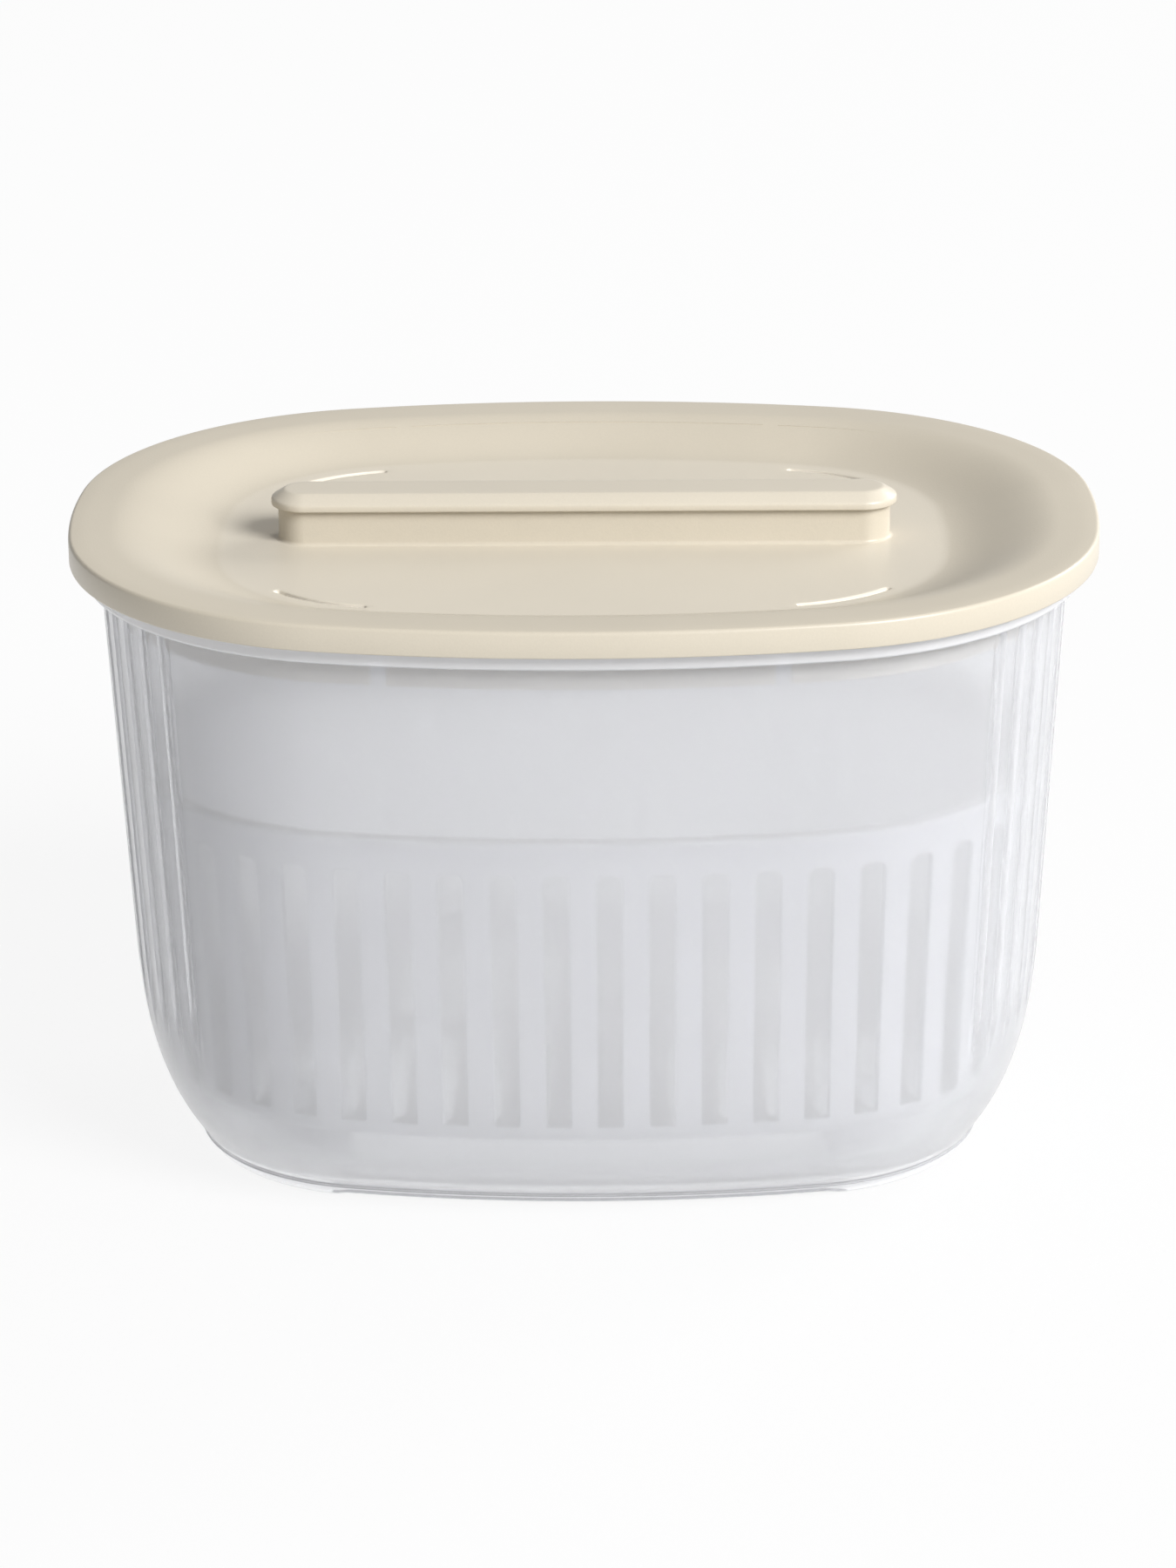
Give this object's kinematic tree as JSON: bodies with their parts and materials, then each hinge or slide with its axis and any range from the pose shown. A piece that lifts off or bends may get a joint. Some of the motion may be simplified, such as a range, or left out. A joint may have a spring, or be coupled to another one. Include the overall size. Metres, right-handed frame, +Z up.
{
  "type": "microwave sterilizer",
  "caption": "Oval microwave steam sterilizer: frosted fluted tub, slotted inner basket and a dished cream lid with steam vents and a capped grip bar.",
  "frame": {"origin": "on the table, under the middle of the tub", "axes": "+Z up, +X along the long side, -Y towards the front"},
  "size_m": [0.26, 0.1948, 0.1716],
  "materials": {
    "frosted_plastic": "frosted, translucent",
    "basket_plastic": "satin, translucent",
    "lid_plastic": "fine satin",
    "cap_plastic": "fine satin"
  },
  "bodies": {
    "tub": {"tub": "frosted_plastic"},
    "basket": {"basket": "basket_plastic"},
    "lid": {"lid": "lid_plastic", "grip_cap": "cap_plastic"}
  },
  "joints": [
    {"name": "lid_lift", "type": "slide", "parent": "tub", "child": "lid", "axis": [0, 0, 1], "range_m": [0, 0.33]},
    {"name": "basket_lift", "type": "slide", "parent": "tub", "child": "basket", "axis": [0, 0, 1], "range_m": [0, 0.165]}
  ],
  "couplings": [
    {"joint": "basket_lift", "follows": "lid_lift", "ratio": 0.5}
  ]
}
